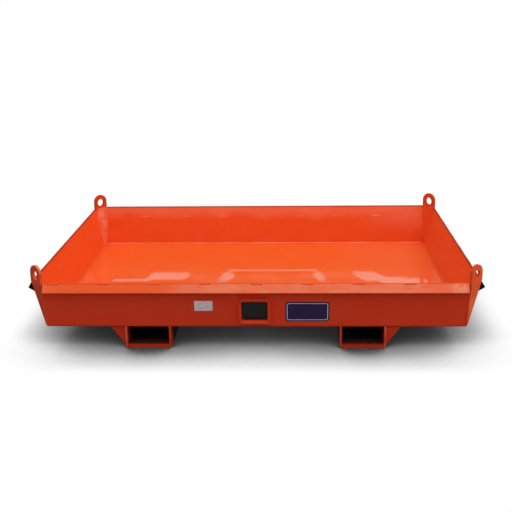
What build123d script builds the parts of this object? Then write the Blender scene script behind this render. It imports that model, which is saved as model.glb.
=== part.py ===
from build123d import *
import math
import os

# Concrete collection tray: a welded steel tray with four flared walls, lifting lugs across its
# corners, an angle rim and two fork pockets under the floor.
# Millimetres and degrees. +X runs along the tray, -Y is its front and +Z is up.
# The origin is on the ground under the middle of the floor.

# Floor plate
floor_length = 1800.0
floor_width = 1300.0
floor_thickness = 6.0

# Walls: rectangular plates that stand on the floor's edges and lean outwards
wall_slope_height = 210.0
wall_thickness = 5.0
wall_lean = 14.0

# Corner lug plates: each closes the gap between two walls, and its upright head is a lifting eye.
# The rises are those of the hole's middle and of the round head's middle above the walls' tops.
lug_thickness = 12.0
lug_foot_width = 4.0
lug_eye_rise = 29.0
lug_crown_rise = 34.0
lug_hole_diameter = 40.0

# Rim: an equal angle along the outside of each wall, with both toes on the wall
rim_leg = 40.0
rim_thickness = 4.0
rim_drop = 2.0

# Fork pockets: two side plates and a bottom plate each, open at both ends
pocket_opening_width = 180.0
pocket_opening_height = 80.0
pocket_side_thickness = 10.0
pocket_bottom_thickness = 20.0
pocket_spacing = 925.0

# Gussets: triangular plates between the floor and each pocket's outer side
gusset_width = 60.0
gusset_thickness = 10.0
gusset_setback = 5.0
gusset_nose = 4.0
gusset_snipe_clearance = 3.0

# Rating plate and the section of tube that guards it, on the front wall's bare height below the rim.
# A foot margin is above the floor, and a head margin is below the rim's lower weld.
guard_width = 134.0
guard_wall = 11.0
guard_depth = 22.0
guard_inner_radius = 7.0
guard_foot_margin = 17.0
guard_head_margin = 6.0
rating_plate_thickness = 2.0
rating_plate_corner_radius = 6.0
rating_plate_side_gap = 2.0
rating_plate_end_gap = 2.0

# Rivets that hold the rating plate
rivet_shank_diameter = 3.2
rivet_head_diameter = 7.0
rivet_head_height = 1.6
rivet_grip = 3.0
rivet_inset = 7.0
rivet_clearance = 0.1

# Blank label to the left of the guard and blank badge to its right.
# A guard gap is between the piece's edge and the weld round the guard.
label_width = 78.0
label_height = 49.5
label_thickness = 1.0
label_corner_radius = 2.0
label_head_margin = 24.5
label_guard_gap = 108.0
badge_width = 186.0
badge_thickness = 1.5
badge_corner_radius = 12.0
badge_foot_margin = 21.5
badge_head_margin = 30.0
badge_guard_gap = 61.0

# Weld beads
floor_weld_leg = 6.0
corner_weld_leg = 4.0
rim_weld_leg = 3.0
rim_stitch_length = 50.0
rim_stitch_pitch = 214.0
rim_stitch_end_gap = 20.0
pocket_weld_leg = 6.0
pocket_bottom_weld_leg = 5.0
gusset_weld_leg = 4.0
guard_weld_leg = 3.0
guard_weld_taper = 40.0

# Levels and places that follow from the sizes above
lean_sin = math.sin(math.radians(wall_lean))
lean_cos = math.cos(math.radians(wall_lean))
lean_tan = math.tan(math.radians(wall_lean))
root_two = math.sqrt(2.0)

pocket_height = pocket_bottom_thickness + pocket_opening_height
floor_top = pocket_height + floor_thickness
half_length = floor_length / 2
half_width = floor_width / 2

# A wall's level cut through its thickness, and how far the walls stop short of the corners
wall_foot = wall_thickness / lean_cos
corner_setback = wall_foot + lug_foot_width / root_two
long_run = floor_length - 2 * corner_setback
short_run = floor_width - 2 * corner_setback

# Each side of the tray: the X and Y of the way it faces, its distance from the middle and its walls' length
sides = {
    "front": ((0, -1), half_width, long_run),
    "right": ((1, 0), half_length, short_run),
    "rear": ((0, 1), half_width, long_run),
    "left": ((-1, 0), half_length, short_run),
}

# Each corner of the floor: the signs of its X and Y
corners = {
    "front_left": (-1, -1),
    "front_right": (1, -1),
    "rear_right": (1, 1),
    "rear_left": (-1, 1),
}


def slope_point(out, up):
    """Distance beyond the floor's edge, and height, of a point given out from a wall and up its slope."""
    return up * lean_sin + out * lean_cos, floor_top + up * lean_cos - out * lean_sin


def run_along(side, section, length, middle=0.0):
    """A prism along one side of the tray, from a section of (out, up) points on its wall."""
    (x_way, y_way), edge, _ = sides[side]
    turn = math.degrees(math.atan2(x_way, -y_way))
    outline = []
    for out, up in section:
        beyond, height = slope_point(out, up)
        outline.append((-edge - beyond, height))
    face = Plane.YZ.offset(middle) * Polygon(*outline)
    return Rot(0, 0, turn) * extrude(face, amount=length / 2, both=True)


def at_corner(corner, shape):
    """Move a shape made at the origin, facing out between +X and -Y, to a corner of the floor."""
    x_sign, y_sign = corners[corner]
    turn = math.degrees(math.atan2(y_sign, x_sign) - math.atan2(-1, 1))
    return Pos(x_sign * half_length, y_sign * half_width, 0) * Rot(0, 0, turn) * shape


def group(shapes):
    """One node that holds several separate solids."""
    solids = []
    for shape in shapes:
        solids.extend(shape.solids())
    return Compound(children=solids)


# Floor and walls
floor_plate = Box(floor_length, floor_width, floor_thickness)
floor_plate = Pos(0, 0, floor_top - floor_thickness / 2) * floor_plate

wall_section = [
    (0, 0),
    (0, wall_slope_height),
    (-wall_thickness, wall_slope_height),
    (-wall_thickness, -wall_thickness * lean_tan),
]
walls = {}
for side, (_, _, run) in sides.items():
    walls[side] = run_along(side, wall_section, run)

# Rim angles
rim_reach = rim_leg / root_two
rim_skin = rim_thickness * root_two
rim_top = wall_slope_height - rim_drop
rim_middle = rim_top - rim_reach
rim_bottom = rim_top - 2 * rim_reach
rim_section = [
    (0, rim_top),
    (rim_reach, rim_middle),
    (0, rim_bottom),
    (0, rim_bottom + rim_skin),
    (rim_reach - rim_skin, rim_middle),
    (0, rim_top - rim_skin),
]
rims = {}
for side, (_, _, run) in sides.items():
    rims[side] = run_along(side, rim_section, run)

# Corner lug plates, made facing out along +X and then turned to their corners.
# The inner face joins the walls' inner edges up to their tops, and is upright above that.
lug_lean = math.atan(lean_tan / root_two)
lug_bend = floor_top + wall_slope_height * lean_cos + wall_thickness * lean_sin
lug_foot_in = -(corner_setback + wall_foot) / root_two
lug_head_in = lug_foot_in + (lug_bend - floor_top) * math.tan(lug_lean)
lug_half_foot = lug_foot_width / 2
lug_half_head = lug_half_foot + (lug_bend - floor_top) * math.tan(lug_lean)
lug_eye = lug_bend + lug_eye_rise
lug_crown = lug_bend + lug_crown_rise
lug_top = lug_crown + lug_half_head


def lug_plate():
    bent_section = Polygon(
        (lug_foot_in, floor_top),
        (lug_head_in, lug_bend),
        (lug_head_in, lug_top),
        (lug_head_in + lug_thickness, lug_top),
        (lug_head_in + lug_thickness, lug_bend - lug_thickness * math.tan(lug_lean / 2)),
        (lug_foot_in + lug_thickness / math.cos(lug_lean), floor_top),
    )
    bent_plate = extrude(Plane.XZ * bent_section, amount=2 * lug_half_head, both=True)
    straight_edges = Polyline(
        (lug_half_head, lug_crown),
        (lug_half_head, lug_bend),
        (lug_half_foot, floor_top),
        (-lug_half_foot, floor_top),
        (-lug_half_head, lug_bend),
        (-lug_half_head, lug_crown),
    )
    round_head = ThreePointArc((-lug_half_head, lug_crown), (0, lug_top), (lug_half_head, lug_crown))
    outline = Plane.YZ * make_face(straight_edges + round_head)
    blank = bent_plate & extrude(outline, amount=lug_half_head + lug_thickness, both=True)
    eye = Rot(0, 90, 0) * Cylinder(lug_hole_diameter / 2, 2 * lug_thickness)
    return blank - Pos(lug_head_in + lug_thickness / 2, 0, lug_eye) * eye


lugs = {}
for corner in corners:
    lugs[corner] = at_corner(corner, Rot(0, 0, math.degrees(math.atan2(-1, 1))) * lug_plate())

# Fork pockets
pocket_half_opening = pocket_opening_width / 2
pocket_half_outside = pocket_half_opening + pocket_side_thickness


def pocket_prism(points, middle):
    """A prism along the whole of a fork pocket, from (across, height) points about its middle."""
    face = Plane.XZ * Pos(middle, 0) * Polygon(*points)
    return extrude(face, amount=half_width, both=True)


def pocket_side_plate(middle, side_sign):
    place = pocket_half_opening + pocket_side_thickness / 2
    plate = Box(pocket_side_thickness, floor_width, pocket_height)
    return Pos(middle + side_sign * place, 0, pocket_height / 2) * plate


def pocket_bottom_plate(middle):
    prep = pocket_bottom_weld_leg
    return pocket_prism(
        [
            (-pocket_half_opening + prep, 0),
            (pocket_half_opening - prep, 0),
            (pocket_half_opening, prep),
            (pocket_half_opening, pocket_bottom_thickness),
            (-pocket_half_opening, pocket_bottom_thickness),
            (-pocket_half_opening, prep),
        ],
        middle,
    )


# Gussets, with the corner snipped to clear the weld between the pocket and the floor
gusset_height = pocket_opening_height
gusset_snipe = pocket_weld_leg + gusset_snipe_clearance
gusset_middle_y = half_width - gusset_setback - gusset_thickness / 2


def gusset(out_sign, end_sign):
    """A gusset on the outer side of the pocket at out_sign along X, at the end_sign end along Y."""
    root = pocket_spacing / 2 + pocket_half_outside
    points = [
        (root, pocket_height - gusset_snipe),
        (root, pocket_height - gusset_height),
        (root + gusset_nose, pocket_height - gusset_height),
        (root + gusset_width, pocket_height - gusset_nose),
        (root + gusset_width, pocket_height),
        (root + gusset_snipe, pocket_height),
    ]
    face = Plane.XZ * Polygon(*[(out_sign * across, height) for across, height in points])
    return Pos(0, end_sign * gusset_middle_y, 0) * extrude(face, amount=gusset_thickness / 2, both=True)


# Rating plate, its guard, its rivets, the label and the badge on the front wall
bare_height = rim_bottom - rim_weld_leg
guard_height = bare_height - guard_foot_margin - guard_head_margin
guard_middle = guard_foot_margin + guard_height / 2
guard_outer_radius = guard_inner_radius + guard_wall
guard_half_welded = guard_width / 2 + guard_weld_leg
rating_plate_width = guard_width - 2 * (guard_wall + rating_plate_side_gap)
rating_plate_height = guard_height - 2 * (guard_wall + rating_plate_end_gap)
badge_height = bare_height - badge_foot_margin - badge_head_margin


def on_front_wall(across, up, out=0.0):
    """A plane on the front wall's outer face: x along the wall, y up its slope."""
    beyond, height = slope_point(out, up)
    return Plane((across, -half_width - beyond, height), x_dir=(1, 0, 0), z_dir=(0, -lean_cos, -lean_sin))


def wall_plate(width, height, corner_radius, thickness, across, up):
    outline = RectangleRounded(width, height, corner_radius)
    return extrude(on_front_wall(across, up) * outline, amount=thickness)


guard_place = on_front_wall(0, guard_middle)
guard_outside = RectangleRounded(guard_width, guard_height, guard_outer_radius)
guard_inside = RectangleRounded(
    guard_width - 2 * guard_wall, guard_height - 2 * guard_wall, guard_inner_radius
)
rating_plate_guard = extrude(guard_place * (guard_outside - guard_inside), amount=guard_depth)

guard_weld_outline = RectangleRounded(
    guard_width + 2 * guard_weld_leg,
    guard_height + 2 * guard_weld_leg,
    guard_outer_radius + guard_weld_leg,
)
guard_weld = extrude(guard_place * guard_weld_outline, amount=guard_weld_leg, taper=guard_weld_taper)
guard_weld -= extrude(guard_place * guard_outside, amount=guard_weld_leg)

rivet_places = GridLocations(
    rating_plate_width - 2 * rivet_inset, rating_plate_height - 2 * rivet_inset, 2, 2
)
rivet_hole = Cylinder(
    rivet_shank_diameter / 2 + rivet_clearance,
    rating_plate_thickness + rivet_grip + rivet_clearance,
    align=(Align.CENTER, Align.CENTER, Align.MAX),
)
rivet_shank = Cylinder(
    rivet_shank_diameter / 2,
    rating_plate_thickness + rivet_grip,
    align=(Align.CENTER, Align.CENTER, Align.MAX),
)
rivet_head = Cylinder(
    rivet_head_diameter / 2,
    rivet_head_height,
    align=(Align.CENTER, Align.CENTER, Align.MIN),
)
rivet_head = fillet(rivet_head.edges().sort_by(Axis.Z)[-1], rivet_head_height / 2)

rating_plate = wall_plate(
    rating_plate_width,
    rating_plate_height,
    rating_plate_corner_radius,
    rating_plate_thickness,
    0,
    guard_middle,
)
plate_face = on_front_wall(0, guard_middle, rating_plate_thickness)
rivets = []
for place in rivet_places:
    rating_plate -= plate_face * place * rivet_hole
    walls["front"] -= plate_face * place * rivet_hole
    rivets.append(plate_face * place * (rivet_head + rivet_shank))

label = wall_plate(
    label_width,
    label_height,
    label_corner_radius,
    label_thickness,
    -guard_half_welded - label_guard_gap - label_width / 2,
    bare_height - label_head_margin - label_height / 2,
)
badge = wall_plate(
    badge_width,
    badge_height,
    badge_corner_radius,
    badge_thickness,
    guard_half_welded + badge_guard_gap + badge_width / 2,
    badge_foot_margin + badge_height / 2,
)

# Weld beads between the floor and the walls, inside the tray
floor_weld_section = [
    (-wall_thickness, -wall_thickness * lean_tan),
    (-wall_thickness, floor_weld_leg - wall_thickness * lean_tan),
    (-wall_thickness - floor_weld_leg * lean_cos, -(wall_thickness + floor_weld_leg * lean_cos) * lean_tan),
]
floor_weld_toe = wall_foot + floor_weld_leg
floor_weld_runs = {
    "front": floor_length - 2 * floor_weld_toe,
    "right": short_run,
    "rear": floor_length - 2 * floor_weld_toe,
    "left": short_run,
}
floor_welds = [run_along(side, floor_weld_section, run) for side, run in floor_weld_runs.items()]


# Weld beads up both edges of each lug plate, outside and inside the tray
def seam_bead(points, start, length):
    """A bead up the front wall's end at a corner at the origin, from points at the wall's foot."""
    beyond, _ = slope_point(0, start)
    rise = start * lean_cos
    face = Pos(0, -beyond, floor_top + rise) * Polygon(*points)
    return extrude(face, amount=length, dir=(0, -lean_sin, lean_cos))


outer_seam = seam_bead(
    [
        (-corner_setback, 0),
        (-corner_setback + wall_foot, 0),
        (-corner_setback, wall_foot),
    ],
    0,
    wall_slope_height,
)
inner_seam_start = floor_weld_leg + corner_weld_leg * root_two / lean_sin
inner_seam = seam_bead(
    [
        (-corner_setback, wall_foot),
        (-corner_setback + corner_weld_leg / root_two, wall_foot + corner_weld_leg / root_two),
        (-corner_setback - corner_weld_leg, wall_foot),
    ],
    inner_seam_start,
    wall_slope_height - inner_seam_start,
)
corner_mirror = Plane((0, 0, 0), x_dir=(0, 0, 1), z_dir=(1, 1, 0))
outer_seams = []
inner_seams = []
for corner in corners:
    for bead, beads in ((outer_seam, outer_seams), (inner_seam, inner_seams)):
        beads.append(at_corner(corner, bead))
        beads.append(at_corner(corner, mirror(bead, about=corner_mirror)))

# Stitch welds along both toes of the rim angles, evenly spaced from one end of each
upper_stitch_section = [
    (0, rim_top),
    (rim_weld_leg / root_two, rim_top - rim_weld_leg / root_two),
    (0, rim_top + rim_drop),
]
lower_stitch_section = [
    (0, rim_bottom),
    (0, rim_bottom - rim_weld_leg),
    (rim_weld_leg / root_two, rim_bottom + rim_weld_leg / root_two),
]
upper_stitches = []
lower_stitches = []
for side, (_, _, run) in sides.items():
    first = rim_stitch_end_gap + rim_stitch_length / 2 - run / 2
    count = 1 + int((run - 2 * rim_stitch_end_gap - rim_stitch_length) // rim_stitch_pitch)
    for index in range(count):
        middle = first + index * rim_stitch_pitch
        upper_stitches.append(run_along(side, upper_stitch_section, rim_stitch_length, middle))
        lower_stitches.append(run_along(side, lower_stitch_section, rim_stitch_length, middle))

# Weld beads of the pockets and gussets
pocket_floor_welds = []
pocket_bottom_welds = []
gusset_welds = []
for x_sign in (-1, 1):
    middle = x_sign * pocket_spacing / 2
    for side_sign in (-1, 1):
        outside = side_sign * pocket_half_outside
        pocket_floor_welds.append(
            pocket_prism(
                [
                    (outside, pocket_height),
                    (outside, pocket_height - pocket_weld_leg),
                    (outside + side_sign * pocket_weld_leg, pocket_height),
                ],
                middle,
            )
        )
        inside = side_sign * pocket_half_opening
        pocket_bottom_welds.append(
            pocket_prism(
                [
                    (inside, 0),
                    (inside, pocket_bottom_weld_leg),
                    (inside - side_sign * pocket_bottom_weld_leg, 0),
                ],
                middle,
            )
        )
    root = middle + x_sign * pocket_half_outside
    foot = pocket_height - gusset_height
    for end_sign in (-1, 1):
        for face_sign in (-1, 1):
            gusset_face = end_sign * gusset_middle_y + face_sign * gusset_thickness / 2
            bead_edge = gusset_face + face_sign * gusset_weld_leg
            upright = Pos(0, 0, foot) * Polygon(
                (root, gusset_face), (root + x_sign * gusset_weld_leg, gusset_face), (root, bead_edge)
            )
            gusset_welds.append(extrude(upright, amount=gusset_height - gusset_snipe, dir=(0, 0, 1)))
            level = Plane.YZ.offset(root + x_sign * gusset_snipe) * Polygon(
                (gusset_face, pocket_height),
                (gusset_face, pocket_height - gusset_weld_leg),
                (bead_edge, pocket_height),
            )
            gusset_welds.append(extrude(level, amount=gusset_width - gusset_snipe, dir=(x_sign, 0, 0)))

# Every node and its solids
nodes = {
    "floor_plate": floor_plate,
    "front_wall": walls["front"],
    "rear_wall": walls["rear"],
    "left_end_wall": walls["left"],
    "right_end_wall": walls["right"],
    "front_rim_angle": rims["front"],
    "rear_rim_angle": rims["rear"],
    "left_rim_angle": rims["left"],
    "right_rim_angle": rims["right"],
    "rating_plate_guard": rating_plate_guard,
    "rating_plate": rating_plate,
    "rating_plate_rivets": group(rivets),
    "blank_label": label,
    "blank_badge": badge,
    "floor_welds": group(floor_welds),
    "corner_outer_welds": group(outer_seams),
    "corner_inner_welds": group(inner_seams),
    "rim_upper_welds": group(upper_stitches),
    "rim_lower_welds": group(lower_stitches),
    "pocket_floor_welds": group(pocket_floor_welds),
    "pocket_bottom_welds": group(pocket_bottom_welds),
    "gusset_welds": group(gusset_welds),
    "guard_weld": guard_weld,
}
for corner, plate in lugs.items():
    nodes[corner + "_lug_plate"] = plate
for name, x_sign in (("left", -1), ("right", 1)):
    middle = x_sign * pocket_spacing / 2
    nodes[name + "_pocket_outer_plate"] = pocket_side_plate(middle, x_sign)
    nodes[name + "_pocket_inner_plate"] = pocket_side_plate(middle, -x_sign)
    nodes[name + "_pocket_bottom_plate"] = pocket_bottom_plate(middle)
    nodes[name + "_front_gusset"] = gusset(x_sign, -1)
    nodes[name + "_rear_gusset"] = gusset(x_sign, 1)

os.makedirs("parts", exist_ok=True)
for node, shape in nodes.items():
    export_step(shape, "parts/" + node + ".step")
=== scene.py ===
from math import atan2, cos, exp, hypot, pi, radians, sin, sqrt, tan, tau

import bmesh
import bpy
from mathutils import Matrix, Vector, noise


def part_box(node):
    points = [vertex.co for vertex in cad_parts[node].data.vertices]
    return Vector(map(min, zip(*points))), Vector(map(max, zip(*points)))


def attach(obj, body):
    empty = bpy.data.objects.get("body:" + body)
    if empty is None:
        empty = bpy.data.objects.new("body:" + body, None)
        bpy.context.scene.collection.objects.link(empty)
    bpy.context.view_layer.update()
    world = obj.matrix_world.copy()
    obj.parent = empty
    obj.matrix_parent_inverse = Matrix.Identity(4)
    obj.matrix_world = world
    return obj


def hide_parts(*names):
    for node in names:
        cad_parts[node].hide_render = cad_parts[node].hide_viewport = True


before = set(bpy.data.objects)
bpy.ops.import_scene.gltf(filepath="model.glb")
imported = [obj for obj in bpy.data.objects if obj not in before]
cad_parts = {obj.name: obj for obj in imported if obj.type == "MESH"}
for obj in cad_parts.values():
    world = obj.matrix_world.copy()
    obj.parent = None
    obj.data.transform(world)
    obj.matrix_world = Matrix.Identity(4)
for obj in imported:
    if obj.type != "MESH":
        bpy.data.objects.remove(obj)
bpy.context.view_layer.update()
scene = bpy.context.scene

# A welded steel tray in orange enamel. Metres, +X along the tray, -Y its front and +Z up.

# Sizes that the looks share with the solids
WALL_SLOPE = 0.210
WALL_THICKNESS = 0.005
WALL_LEAN = radians(14.0)
RIM_LEG = 0.040
RIM_THICKNESS = 0.004
RIM_DROP = 0.002
LUG_THICKNESS = 0.012
LUG_FOOT_WIDTH = 0.004
LUG_EYE_RISE = 0.029
LUG_CROWN_RISE = 0.034
LUG_HOLE_RADIUS = 0.020
GUSSET_NOSE = 0.004
GUSSET_SNIPE = 0.009
GUARD_WALL = 0.011
GUARD_DEPTH = 0.022
GUARD_RADIUS = 0.018
PLATE_THICKNESS = 0.002
PLATE_RADIUS = 0.006
RIVET_RADIUS = 0.0035
RIVET_HEIGHT = 0.0016
RIVET_INSET = 0.007
LABEL_THICKNESS = 0.001
LABEL_RADIUS = 0.002
BADGE_THICKNESS = 0.0015
BADGE_RADIUS = 0.012

# Weld legs, and the stitches along the rim
FLOOR_WELD = 0.006
CORNER_WELD = 0.004
RIM_WELD = 0.003
STITCH_LENGTH = 0.050
STITCH_PITCH = 0.214
STITCH_END_GAP = 0.020
POCKET_WELD = 0.006
BOTTOM_WELD = 0.005
GUSSET_WELD = 0.004
GUARD_WELD = 0.003

# Places that follow from the frame
LEAN_SIN = sin(WALL_LEAN)
LEAN_COS = cos(WALL_LEAN)
LEAN_TAN = tan(WALL_LEAN)
ROOT_TWO = sqrt(2.0)
floor_low, floor_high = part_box("floor_plate")
HALF_LENGTH = floor_high.x
HALF_WIDTH = floor_high.y
FLOOR_TOP = floor_high.z
FLOOR_UNDER = floor_low.z
POCKET_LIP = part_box("left_pocket_bottom_plate")[1].z
GUARD_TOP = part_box("rating_plate_guard")[1].z
WALL_FOOT = WALL_THICKNESS / LEAN_COS
CORNER_SETBACK = WALL_FOOT + LUG_FOOT_WIDTH / ROOT_TWO
LONG_RUN = 2 * (HALF_LENGTH - CORNER_SETBACK)
SHORT_RUN = 2 * (HALF_WIDTH - CORNER_SETBACK)
RIM_REACH = RIM_LEG / ROOT_TWO
RIM_SKIN = RIM_THICKNESS * ROOT_TWO
RIM_TOP = WALL_SLOPE - RIM_DROP
RIM_MIDDLE = RIM_TOP - RIM_REACH
RIM_BOTTOM = RIM_TOP - 2 * RIM_REACH

# Each side: the way it faces, the floor's edge there and the length of its wall
SIDES = {
    "front": (Vector((0, -1, 0)), HALF_WIDTH, LONG_RUN),
    "right": (Vector((1, 0, 0)), HALF_LENGTH, SHORT_RUN),
    "rear": (Vector((0, 1, 0)), HALF_WIDTH, LONG_RUN),
    "left": (Vector((-1, 0, 0)), HALF_LENGTH, SHORT_RUN),
}
LONG_SIDES = ("front", "rear")
HANDS = {"left": -1, "right": 1}
CORNERS = {"front_left": (-1, -1), "front_right": (1, -1), "rear_right": (1, 1), "rear_left": (-1, 1)}
UP = Vector((0, 0, 1))
WALL_TOP = FLOOR_TOP + WALL_SLOPE * LEAN_COS
LUG_NECK = FLOOR_TOP + WALL_SLOPE

# Colours, linear. The oranges are copies of one enamel, each set to how light falls where it is used:
# the floor and the rear and side walls' inner faces each have their own, the rims' upper legs a paler one
# as painted sheen, the outer faces a deeper red one as a shaded copy, the underside a darker one as painted
# shade, and the lugs and beads lit and shaded ones. The pale film colour is that of the enamel's random
# patches and also of its painted sheen, reflections and highlights.
FLOOR_ORANGE = (0.825, 0.112, 0.019)
REAR_ORANGE = (0.83, 0.083, 0.015)
SIDE_ORANGE = (0.87, 0.091, 0.015)
OUTSIDE_ORANGE = (0.86, 0.060, 0.021)
UNDER_SHADE_ORANGE = (0.54, 0.036, 0.011)
RIM_ORANGE = (0.95, 0.110, 0.024)
LUG_ORANGE = (0.74, 0.072, 0.016)
LUG_SHADE_ORANGE = (0.64, 0.062, 0.032)
LUG_LIT_ORANGE = (0.84, 0.109, 0.031)
STITCH_ORANGE = (0.84, 0.072, 0.020)
SEAM_ORANGE = (0.82, 0.103, 0.020)
WELD_ORANGE = (0.93, 0.130, 0.028)
PALE_FILM_AND_SHEEN = (0.95, 0.27, 0.155)
BARE_STEEL_AND_SHADE = (0.012, 0.010, 0.010)
STEEL_SCALE = (0.030, 0.016, 0.012)
RULING_GREY = ((0.055, 0.058, 0.052), (0.028, 0.030, 0.027))

# Where the painted sheen and reflections, the painted shade, the dark tinge and the wear begin and are
# full:
# along X, or past the place that each starts from
FLOOR_SHEEN_ALONG = (0.28, 0.60)
REFLECTION_WANDER = 0.080
REFLECTION_RISE = (0.015, 0.080)
RIGHT_SHEEN_RISE = (0.07, 0.20)
RIGHT_SHEEN_ALONG = (0.45, 0.82)
SHEEN_STRIP_WIDTH = 0.066
SHEEN_STRIP_SLANT = 0.35
SHEEN_STRIP_WANDER = 0.030
SHEEN_STRIP_EDGE = 0.022
WEAR_RISE = (-0.010, -0.003)
WEAR_SIDES = (0.010, 0.030)
CROWN_RISE = (0.030, 0.060)
HEAD_TINGE_RISE = (-0.008, 0.012)
LUG_SHEEN_LOW = WALL_TOP - 0.010
RIM_LEFT_END = (-0.95, -0.72)
RIM_PALE_ALONG = (-0.45, -0.20)
RIM_LESS_SHEEN_ALONG = (0.66, 0.76)
SCUFF_MIDDLE = 0.850
SCUFF_REACH = 0.055
UNDER_SHADE_DEPTH = (-0.11, -0.02)
GUARD_SHADOW_RISE = (-0.030, -0.008)
POCKET_EDGE = (-0.012, -0.001)
POCKET_SHADE_DEPTH = (-0.075, -0.012)
LIP_RISE = (-0.005, -0.001)


# Materials


def add_node(tree, kind, inputs, **settings):
    """Add a shader node. Each input is a plain value or another node's output."""
    added = tree.nodes.new("ShaderNode" + kind)
    for setting, value in settings.items():
        setattr(added, setting, value)
    for socket, value in inputs.items():
        if isinstance(value, bpy.types.NodeSocket):
            tree.links.new(value, added.inputs[socket])
        else:
            added.inputs[socket].default_value = value
    return added


class Look:
    """A material being made: its node tree, its shader and short ways to add nodes."""

    def __init__(self, name, **values):
        self.material = bpy.data.materials.new(name)
        self.material.use_nodes = True
        self.tree = self.material.node_tree
        self.shader = self.tree.nodes["Principled BSDF"]
        for socket, value in values.items():
            self.shader.inputs[socket.replace("_", " ")].default_value = value
        self.place = self.node("TexCoord", {}).outputs["Object"]

    def node(self, kind, inputs, **settings):
        return add_node(self.tree, kind, inputs, **settings)

    def noise(self, scale, detail=3.0, stretch=(1, 1, 1)):
        """Noise of about scale spots to the metre, drawn out by stretch."""
        spots = self.node("Mapping", {"Vector": self.place, "Scale": stretch})
        inputs = {"Vector": spots.outputs[0], "Scale": scale, "Detail": detail}
        return self.node("TexNoise", inputs).outputs["Fac"]

    def ramp(self, value, low, high, start=0.0, end=1.0):
        """A smooth change from start to end as a value, or a place along an axis, goes from low to high."""
        value = self.axis(value) if isinstance(value, str) else value
        inputs = {"Value": value, "From Min": low, "From Max": high, "To Min": start, "To Max": end}
        return self.node("MapRange", inputs, interpolation_type="SMOOTHSTEP").outputs[0]

    def math(self, operation, *values):
        return self.node("Math", dict(enumerate(values)), operation=operation).outputs[0]

    def times(self, first, second):
        return self.math("MULTIPLY", first, second)

    def axis(self, letter):
        """The place along X, Y or Z."""
        return self.node("SeparateXYZ", {"Vector": self.place}).outputs[letter]

    def mix(self, share, first, second):
        inputs = {"Factor": share, "A": first, "B": second}
        return self.node("Mix", inputs, data_type="RGBA").outputs["Result"]

    def bump(self, height, distance, **under):
        inputs = {"Height": height, "Distance": distance, **under}
        return self.node("Bump", inputs).outputs["Normal"]

    def finish(self, color, roughness, normal=None):
        """The material, with its shader's colour, roughness and normal linked."""
        for socket, value in (("Base Color", color), ("Roughness", roughness), ("Normal", normal)):
            if value is not None:
                self.tree.links.new(value, self.shader.inputs[socket])
        return self.material


def shade(color, factor=1.0):
    """A colour times a factor, with full alpha."""
    return (*[channel * factor for channel in color], 1.0)


def past(place, steps):
    """The places that lie some steps past a place."""
    return [place + step for step in steps]


# Relief of the surfaces
PEEL_HEIGHT = 0.00016
WAVE_HEIGHT = 0.00035
SCALE_HEIGHT = 0.0006
METAL_GRAIN = 0.0001
PEBBLE_HEIGHT = 0.0002
ENAMEL_TINT = (1.0, 0.86, 0.50, 1.0)


def enamel(name, color, film=0.05, gloss=(0.14, 0.34), grain=1.0, shine=0.03, painted_sheen_at=None, wear_and_shade_at=None):
    """Sprayed enamel: uneven in tone, with a thin pale film in random patches and an orange-peel skin.

    film is how pale the random patches are, and where it is high they are painted highlights; gloss is the
    range of roughness, grain the skin's depth and shine the specular level. The last two give where more of
    the pale colour is painted on as sheen, reflection and highlight, and where bare steel shows as wear or
    as painted shade.
    """
    look = Look(name, Specular_IOR_Level=shine, Specular_Tint=ENAMEL_TINT)
    tone = look.mix(look.noise(2.6, 4.0), shade(color, 0.95), shade(color, 1.05))
    fine = look.ramp(look.noise(42.0, 5.0), 0.35, 0.70, 0.0, 0.09)
    tone = look.mix(fine, tone, shade(color, 0.88))
    patches_and_sheen = look.ramp(look.noise(7.5, 6.0), 0.42, 0.72, 0.0, film)
    if painted_sheen_at:
        patches_and_sheen = look.math("MAXIMUM", patches_and_sheen, painted_sheen_at(look))
    tone = look.mix(patches_and_sheen, tone, shade(PALE_FILM_AND_SHEEN))
    if wear_and_shade_at:
        tone = look.mix(wear_and_shade_at(look), tone, shade(BARE_STEEL_AND_SHADE))
    rough = look.ramp(look.noise(9.0, 4.0), 0.30, 0.72, *gloss)
    peel = look.bump(look.noise(210.0, 2.0), PEEL_HEIGHT * grain)
    return look.finish(tone, rough, look.bump(look.noise(26.0, 3.0), WAVE_HEIGHT * grain, Normal=peel))


def floor_painted_sheen(look):
    """A faint painted sheen over the right part of the floor, paler to the right."""
    uneven = look.ramp(look.noise(3.0, 4.0), 0.30, 0.70, 0.07, 0.13)
    return look.times(uneven, look.ramp("X", *FLOOR_SHEEN_ALONG))


def rear_painted_reflection(look):
    """The painted reflection on the rear wall's inner face: along the rim behind it, and up its right end.
    """
    uneven = look.noise(7.0, 5.0, (1.0, 1.0, 0.25))
    level = look.math("MULTIPLY_ADD", uneven, REFLECTION_WANDER, look.axis("Z"))
    low = FLOOR_TOP + RIM_BOTTOM * LEAN_COS
    full = look.ramp(look.noise(3.0, 3.0), 0.35, 0.65, 0.28, 0.44)
    band = look.times(full, look.ramp(level, *past(low, REFLECTION_RISE)))
    high = look.ramp(level, *past(FLOOR_TOP, RIGHT_SHEEN_RISE))
    right = look.times(high, look.ramp("X", *RIGHT_SHEEN_ALONG, 0.0, 0.34))
    return look.math("MAXIMUM", band, right)


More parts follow.
